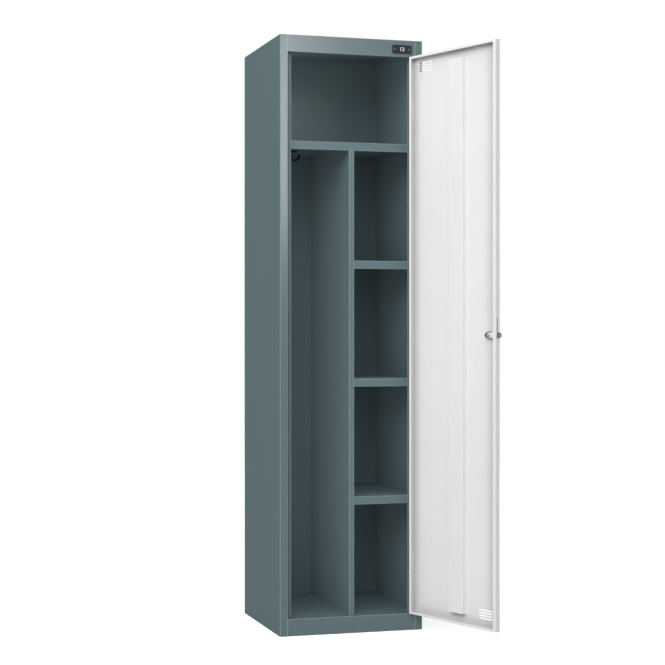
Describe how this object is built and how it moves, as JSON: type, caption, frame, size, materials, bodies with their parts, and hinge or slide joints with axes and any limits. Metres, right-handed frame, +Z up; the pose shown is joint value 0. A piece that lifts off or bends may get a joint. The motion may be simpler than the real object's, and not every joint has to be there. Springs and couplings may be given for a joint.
{
  "type": "broom cupboard",
  "caption": "Tall sheet-steel broom cupboard: hinged door with a cam lock, full-width top shelf, tall bay with a coat hook and a column of half shelves.",
  "frame": {"origin": "on the floor, in the middle of the plinth's underside, 10 mm behind the front face", "axes": "+Z up, -Y out of the front, +X to the right as seen from the front; the door stands open at its rest angle of 109 degrees"},
  "size_m": [0.5472, 0.8549, 1.8],
  "materials": {
    "carcass_paint": "blue-grey powder coat, satin, fine texture",
    "door_paint": "off-white powder coat, satin, fine texture",
    "zinc": "zinc plated",
    "lock_metal": "satin chrome plated die casting",
    "hook_moulding": "moulded, satin",
    "plate_finish": "dark grey lacquer, plain"
  },
  "bodies": {
    "cabinet": {"side_left": "carcass_paint", "side_right": "carcass_paint", "back_panel": "carcass_paint", "top_panel": "carcass_paint", "base_panel": "carcass_paint", "hat_shelf": "carcass_paint", "divider": "carcass_paint", "shelf_lower": "carcass_paint", "shelf_middle": "carcass_paint", "shelf_upper": "carcass_paint", "frame_leaf_top": "carcass_paint", "frame_leaf_middle": "carcass_paint", "frame_leaf_bottom": "carcass_paint", "hinge_pin_top": "zinc", "hinge_pin_middle": "zinc", "hinge_pin_bottom": "zinc", "hook_rivets": "zinc", "plate_rivets": "zinc", "coat_hook": "hook_moulding", "number_plate": "plate_finish"},
    "door": {"door_panel": "door_paint", "door_stiffener": "door_paint", "door_leaf_top": "door_paint", "door_leaf_middle": "door_paint", "door_leaf_bottom": "door_paint", "lock_body": "lock_metal", "lock_nut": "zinc"},
    "lock": {"lock_plug": "lock_metal", "lock_cam": "zinc", "cam_washer": "zinc", "cam_screw": "zinc"}
  },
  "joints": [
    {"name": "door_hinge", "type": "hinge", "parent": "cabinet", "child": "door", "pos_m": [0.1994, -0.0165, 0], "axis": [0, 0, 1], "range_deg": [-109, 71]},
    {"name": "lock_turn", "type": "hinge", "parent": "door", "child": "lock", "pos_m": [0.31524, -0.35292, 0.901], "axis": [-0.9455, -0.3256, 0], "range_deg": [0, 90]}
  ]
}
